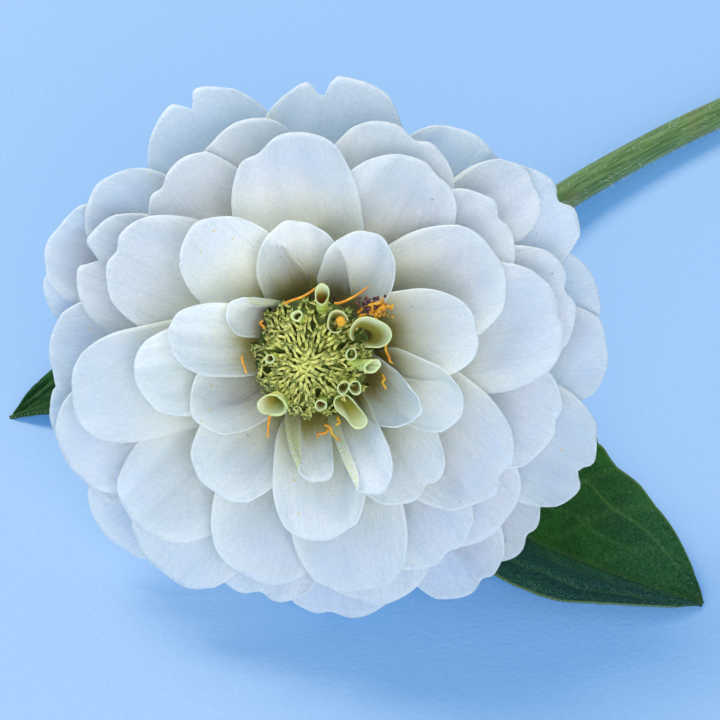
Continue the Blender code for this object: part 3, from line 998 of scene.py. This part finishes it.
# The cup under the bracts: radius and level, from the stem outward.
CUP_OUTLINE = np.array(((1.9, -0.4), (2.9, -0.2), (4.6, 0.3), (6.6, 1.2), (8.0, 2.3), (9.2, 3.6)))
CUP_SIDES = 24


def make_bracts(material):
    """Rows of rounded bracts that overlap up the cup, each row a little inside the one before."""
    bundle = Bundle()
    layer = Layer(0.0)
    across = np.linspace(-1, 1, BRACT_SAMPLES)[None]
    share = np.linspace(0, 1, BRACT_SAMPLES)[:, None]
    rise = share * np.sqrt(1 - 0.94 * across ** 2 / 2 * share)
    narrow = np.sqrt(1 - 0.94 * share ** 2 / 2) * (0.75 + 0.25 * smooth_step(share * 2))
    edge = np.maximum(np.abs(across) ** 2 * share, smooth_step((share - 0.55) / 0.45))
    tone = np.stack((share + across * 0, edge, edge * 0), axis=-1)
    for row, (count, start, finish, width) in enumerate(BRACT_ROWS):
        begin = start - BRACT_OVERLAP
        long = np.clip((begin + (finish - begin) * rise) * layer.arc[-1], 0, None)
        out = 0.75 + 0.30 * (3 - row) - 0.25 * share + 0.25 * (1 - across ** 2) * share
        _, radius, level = layer.laid(long, -out)
        side = across * width / 2 * narrow
        for number in range(count):
            direction = (number + 0.5 * (row % 2)) * math.tau / count + rng.uniform(-0.05, 0.05)
            bundle.add_grid(round_place(direction + side / radius, radius, level), tone)
    cup_radius, cup_level = CUP_OUTLINE.T[:, :, None]
    cup = round_place(full_turn(CUP_SIDES), cup_radius, cup_level)
    bundle.add_grid(cup, (0.3, 0.0, 0.0), closed=True)
    piece = bundle.piece("bracts", material, "bract")
    flat = to_bloom(mesh_points(piece.data))
    turned = np.arctan2(flat[:, 1], flat[:, 0]) * 9
    lay_sheet(piece.data, np.stack((turned, np.hypot(flat[:, 0], flat[:, 1])), axis=-1))
    thicken(piece, BRACT_THICKNESS, 0.0)
    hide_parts("involucre")


# ------------ stem and leaves

# Routes as in the CAD, from the same base point, before the model was stood on its origin.
CAD_BASE = np.array((-24.2, 28.0, 23.9))
STEM_ROUTE = ((-27.6, 35.0, 19.0), (-29.2, 44.0, 14.6), (-30.2, 57.0, 9.6), (-30.2, 76.0, 5.6),
              (-28.8, 100.0, 3.7), (-25.2, 120.0, 3.0), (-20.6, 137.0, 2.6), (-14.6, 153.0, 2.4),
              (-8.0, 167.0, 2.3))
STEM_RADIUS = 2.4
LEAF_ROUTES = {
    "leaf_right": ((-26.2, 42.6, 13.6), (-14.0, 37.6, 7.6), (-3.0, 32.4, 3.2),
                   (9.4, 28.0, 1.3), (23.0, 29.0, 0.8), (38.4, 31.4, 0.8)),
    "leaf_left": ((-32.2, 43.4, 13.6), (-41.5, 41.4, 10.4), (-52.0, 35.0, 6.2),
                  (-61.0, 23.0, 2.6), (-66.5, 12.0, 1.0), (-70.0, 3.8, 0.6)),
}
# Half widths before and behind the midrib, and the most the back one may reach; how steeply the
# two halves rise, in degrees, and how much the front one flattens near the tip; how fast they
# taper; how strong the painted sheen on the blade is and how pale its rim.
LEAF_SHAPES = {
    "leaf_right": dict(front_half=16.5, back_half=24.5, back_most=20.5, front=27.0, flattens=11.0,
                       back=30.0, front_taper=0.85, back_taper=1.0, painted_sheen=1.0, rim=1.0),
    "leaf_left": dict(front_half=9.7, back_half=15.0, back_most=30.0, front=16.0, flattens=0.0,
                      back=16.0, front_taper=1.4, back_taper=1.25, painted_sheen=0.1, rim=0.97),
}


def placed(route):
    return np.array(route) + (BLOOM_BASE - CAD_BASE)


def smooth_route(route, share):
    """Points on a smooth curve through a route, at shares of its spans from 0 to 1."""
    spans = len(route) - 1
    place = np.clip(share * spans, 0, spans - 1e-6)
    span = place.astype(int)
    local = (place - span)[..., None]
    a = route[np.maximum(span - 1, 0)]
    b = route[span]
    c = route[span + 1]
    d = route[np.minimum(span + 2, spans)]
    return 0.5 * (2 * b + (c - a) * local + (2 * a - 5 * b + 4 * c - d) * local ** 2
                  + (3 * b - a - 3 * c + d) * local ** 3)


def make_hairs(name, hairs, thickness, material, slot):
    """Short tapering hairs, each a three-sided spike bent a little: root, way and length."""
    bundle = Bundle()
    for root, way, long in hairs:
        bend = np.array([rng.gauss(0, 0.25) for _ in range(3)])
        t = np.linspace(0, 1, 3)[:, None]
        path = root + way * long * t + bend * long * t ** 2
        rings = tube_rings(path, (thickness, thickness * 0.7, 0.008), 3)
        bundle.add_grid(rings, PLAIN_TONE, closed=True)
    bundle.piece(name, material, slot, in_bloom=False)


STEM_ROWS = 150
STEM_SIDES = 40
STEM_HAIRS = 1500
STEM_HAIR_THICKNESS = 0.035
HAIR_CLEARANCE = 0.15
# The cut end, from its rim to the hollow in its middle: share of the radius and how deep.
CUT_STEPS = ((0.93, 0.02), (0.62, 0.06), (0.30, 0.10), (0.22, 0.9))


def make_stem(material, hair):
    """A ribbed stem with a swollen node at the leaves, a neck under the bloom and a cut end."""
    route = np.vstack((BLOOM_BASE - FACE * 0.3, placed(STEM_ROUTE)))
    share = np.linspace(0, 1, STEM_ROWS)
    path = smooth_route(route, share)
    ahead = ways_along(path)
    first = unit(np.cross(ahead, np.array((1.0, 0.0, 0.0))))
    angles = full_turn(STEM_SIDES)
    neck = 1 + 0.2 * smooth_step(1 - share / 0.15)
    node = 1 + 0.10 * np.exp(-((share - 0.235) / 0.02) ** 2)
    ribs = 0.07 * np.cos(9 * angles)[None] + 0.03 * np.cos(18 * angles + 1)[None]
    drift = 0.04 * np.sin(share * 60)[:, None] * np.cos(2 * angles)[None]
    radius = (STEM_RADIUS * neck * node)[:, None] + ribs + drift
    ring = circles(first, np.cross(ahead, first), angles)
    grid = path[:, None] + ring * radius[..., None]
    slant = ring @ np.array((0.25, 0.0, 1.0))
    tail = smooth_step((share - 0.975) / 0.025)[:, None]
    grid = grid + ahead[:, None] * (slant * 1.1 * tail)[..., None]
    end = grid[-1]
    centre = end.mean(0)
    cut = [centre + (end - centre) * inset - ahead[-1] * sunk for inset, sunk in CUT_STEPS]
    grid = np.vstack((grid, cut))
    rows = len(grid)
    tone = np.zeros((rows, STEM_SIDES, 3))
    tone[:STEM_ROWS, :, 2] = 1.0
    tone[STEM_ROWS:, :, 1] = 1.0
    tone[STEM_ROWS:, :, 2] = np.array(CUT_STEPS)[:, :1]
    arc = np.pad(running_length(path), (0, len(CUT_STEPS)), "edge")
    sheet = np.stack(np.broadcast_arrays(angles[None] * STEM_RADIUS, arc[:, None]), axis=-1)
    stem = add_piece("stem_ribbed", grid, tube_faces(rows, STEM_SIDES), [material],
                     tone, sheet)
    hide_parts("stem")
    places = []
    for _ in range(STEM_HAIRS):
        row = rng.randrange(3, STEM_ROWS - 6)
        places.append((row, rng.randrange(STEM_SIDES)))
    hairs = [(grid[place], ring[place], rng.uniform(0.5, 1.1)) for place in places]
    lowest = CAD_LOW.z / MM + HAIR_CLEARANCE
    clear = [(root, way, long) for root, way, long in hairs if root[2] + way[2] * long > lowest]
    make_hairs("stem_hairs", clear, STEM_HAIR_THICKNESS, hair, "stem")


LEAF_ROWS = 90
LEAF_COLUMNS = 101
LEAF_LENGTH = 70.0
LEAF_DROOP = 0.0075
LEAF_THICKNESS = 0.3
LEAF_FLOOR_GAP = 0.32
LEAF_HAIRS = 700
LEAF_HAIR_THICKNESS = 0.022
# The veins that run along each half: place across it, and strength.
SIDE_VEINS = ((0.30, 0.30), (0.62, 0.75))


def make_leaf(node, materials, hair):
    """A leaf folded on its midrib, quilted between its long side veins, with wavy margins."""
    shape = LEAF_SHAPES[node]
    share = np.linspace(0, 1, LEAF_ROWS)[:, None]
    mid = smooth_route(placed(LEAF_ROUTES[node]), share[:, 0])
    ahead = ways_along(mid)
    side_way = unit(np.cross(ahead, UP))
    across = np.linspace(-1, 1, LEAF_COLUMNS)[None]
    outward = np.abs(across)
    swell = np.clip(np.sin(math.pi * (0.08 + 0.92 * share) ** 1.15), 0, None)
    front_half = shape["front_half"] * swell ** shape["front_taper"]
    back_half = shape["back_half"] * swell ** shape["back_taper"]
    back_half = back_half / (1 + (back_half / shape["back_most"]) ** 6) ** (1 / 6)
    wavy = 1 + 0.012 * np.sin(share * 31) + 0.010 * np.sin(share * 57 + 1)
    half = np.maximum(np.where(across > 0, front_half, back_half), 0.25) * wavy
    opening = smooth_step(share / 0.35)
    front_rise = np.radians(shape["front"] - shape["flattens"] * smooth_step((share - 0.62) / 0.2))
    rise = np.where(across > 0, front_rise, math.radians(shape["back"])) * opening
    reach = outward * half
    flat = np.sign(across) * reach * np.cos(rise)
    vein = np.exp(-(across * half / 0.32) ** 2) * (1 - 0.55 * share)
    groove = 0.45 * np.exp(-(across * half / 0.6) ** 2)
    for place, most in SIDE_VEINS:
        line = place * smooth_step(share / 0.25)
        strength = most * smooth_step((1 - share) / 0.2)
        for which in (-1, 1):
            zigzag = 0.03 * np.sin(share * 40 + which)
            gap = (across - which * (line + zigzag)) * half
            vein = vein + strength * 0.75 * np.exp(-(gap / 0.17) ** 2)
            groove = groove + strength * 0.26 * np.exp(-(gap / 0.5) ** 2)
    cross = outward * 1.6 - share * 9
    ladder = np.exp(-(np.sin(cross * math.pi) / 0.16) ** 2) * smooth_step(outward / 0.15)
    vein = vein + 0.22 * ladder
    groove = groove + 0.14 * ladder
    ripple = 0.5 * np.sin(share * 21 + 2) * across ** 4 + 0.12 * np.sin(across * 17)
    height = reach * np.sin(rise) - LEAF_DROOP * reach ** 2 - groove + ripple * opening
    points = mid[:, None] + side_way[:, None] * flat[..., None] + UP * height[..., None]
    points[..., 2] = np.maximum(points[..., 2], CAD_LOW.z / MM + LEAF_FLOOR_GAP)
    # Painted sheen mask: the front half of the fold and the tip get a pale bluish sheen in the leaf
    # finish.
    shade = smooth_step((across + 0.1) / 0.5) * (0.55 + 0.45 * share)
    shade = np.maximum(shade, 0.3 * smooth_step((share - 0.7) / 0.2)) * shape["painted_sheen"]
    tone = np.stack((np.clip(vein, 0, 1), outward * shape["rim"] + share * 0, shade), axis=-1)
    sheet = np.stack((flat, np.broadcast_to(share * LEAF_LENGTH, flat.shape)), axis=-1)
    leaf = add_piece(node + "_blade", points, grid_faces(LEAF_ROWS, LEAF_COLUMNS), materials,
                     tone, sheet)
    thicken(leaf, LEAF_THICKNESS, reverse_slot=1)
    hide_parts(node)
    hairs = []
    for _ in range(LEAF_HAIRS):
        row = rng.randrange(4, LEAF_ROWS - 1)
        column = rng.choice((0, LEAF_COLUMNS - 1, rng.randrange(LEAF_COLUMNS)))
        margin = column in (0, LEAF_COLUMNS - 1)
        out = side_way[row] * (1 if column > LEAF_COLUMNS / 2 else -1)
        way = unit((out if margin else UP) + ahead[row] * 0.5)
        hairs.append((points[row, column], way, rng.uniform(0.12, 0.26)))
    make_hairs(node + "_hairs", hairs, LEAF_HAIR_THICKNESS, hair, "leaf")


# ------------ camera, light and floor

CAMERA_TURN = math.radians(36)
CAMERA_HEIGHT = math.radians(40)
CAMERA_DISTANCE = 450.0
CAMERA_LENS = 157.5
CAMERA_SENSOR = 36.0
CAMERA_NEAREST = 0.01
RIM_DEPTH = 18.0
AIM_RIGHT = 4.86
AIM_DOWN = 2.43
# Lights: how far right of the bloom, behind it and above it in metres, size, power and colour.
KEY_LIGHT = (-0.42, -0.36, 0.70, 0.45, 6.0, (1.0, 0.965, 0.93))
FILL_LIGHT = (0.12, 0.80, 0.34, 0.8, 6.0, (1.0, 0.965, 0.95))
SKY_COLOUR = (0.33, 0.65, 1.0, 1.0)
SKY_STRENGTH = 0.46
FLOOR_SIZE = 6.0


def make_camera():
    right = np.array((math.cos(CAMERA_TURN), math.sin(CAMERA_TURN), 0.0))
    back = np.array((math.sin(CAMERA_TURN) * math.cos(CAMERA_HEIGHT),
                     -math.cos(CAMERA_TURN) * math.cos(CAMERA_HEIGHT), math.sin(CAMERA_HEIGHT)))
    up = np.cross(back, right)
    aim = BLOOM_BASE + FACE * RIM_DEPTH + right * AIM_RIGHT - up * AIM_DOWN
    place = aim + back * CAMERA_DISTANCE
    data = bpy.data.cameras.new("camera")
    data.lens = CAMERA_LENS
    data.sensor_width = CAMERA_SENSOR
    data.clip_start = CAMERA_NEAREST
    camera = bpy.data.objects.new("camera", data)
    rotation = Matrix((right, up, back)).transposed().to_4x4()
    camera.matrix_world = Matrix.Translation(Vector(place * MM)) @ rotation
    bpy.context.scene.collection.objects.link(camera)
    bpy.context.scene.camera = camera
    return right, back, aim


def add_area_light(name, place, aim, size, power, colour):
    data = bpy.data.lights.new(name, "AREA")
    data.shape = "DISK"
    data.size = size
    data.energy = power
    data.color = colour
    light = bpy.data.objects.new(name, data)
    light.location = Vector(place)
    light.rotation_mode = "QUATERNION"
    light.rotation_quaternion = (Vector(place) - Vector(aim)).to_track_quat("Z", "Y")
    bpy.context.scene.collection.objects.link(light)


def make_studio():
    right, back, aim = make_camera()
    middle = Vector(aim * MM)
    level_back = Vector((back[0], back[1], 0)).normalized()
    lights = (("key_light", KEY_LIGHT), ("fill_light", FILL_LIGHT))
    for name, (rightward, behind, above, size, power, colour) in lights:
        place = middle + Vector(right) * rightward + level_back * behind + Vector((0, 0, above))
        add_area_light(name, place, middle, size, power, colour)
    world = bpy.data.worlds.new("studio")
    world.use_nodes = True
    sky = world.node_tree.nodes["Background"]
    sky.inputs["Color"].default_value = SKY_COLOUR
    sky.inputs["Strength"].default_value = SKY_STRENGTH
    bpy.context.scene.world = world
    bpy.context.scene.view_settings.view_transform = "Standard"
    bpy.ops.mesh.primitive_plane_add(size=FLOOR_SIZE, location=(0, 0, CAD_LOW.z))
    floor = bpy.context.object
    floor.name = "floor"
    floor.data.materials.append(floor_finish())


def paint_receptacle():
    """The receptacle stays as the CAD has it, with a pale fibrous finish."""
    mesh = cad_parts["receptacle"].data
    mesh.materials.clear()
    mesh.materials.append(receptacle_finish())


def main():
    make_studio()
    petal_sides = [petal_finish("petal_front", False), petal_finish("petal_reverse", True)]
    make_petals(petal_sides)
    make_core(core_finish())
    make_chaff(chaff_finish())
    young_sides = [young_finish("young_outside", True), young_finish("young_inside", False)]
    for row in YOUNG_ROLLS:
        make_roll(row, young_sides)
    make_styles(style_finish())
    make_withered(withered_finish())
    make_bracts(bract_finish())
    hair = hair_finish()
    make_stem(stem_finish(), hair)
    leaf_sides = [leaf_finish("leaf_front", (0.004, 0.052, 0.002), (0.014, 0.096, 0.004)),
                  leaf_finish("leaf_reverse", (0.10, 0.15, 0.055), (0.17, 0.22, 0.09))]
    for node in LEAF_ROUTES:
        make_leaf(node, leaf_sides, hair)
    paint_receptacle()


main()
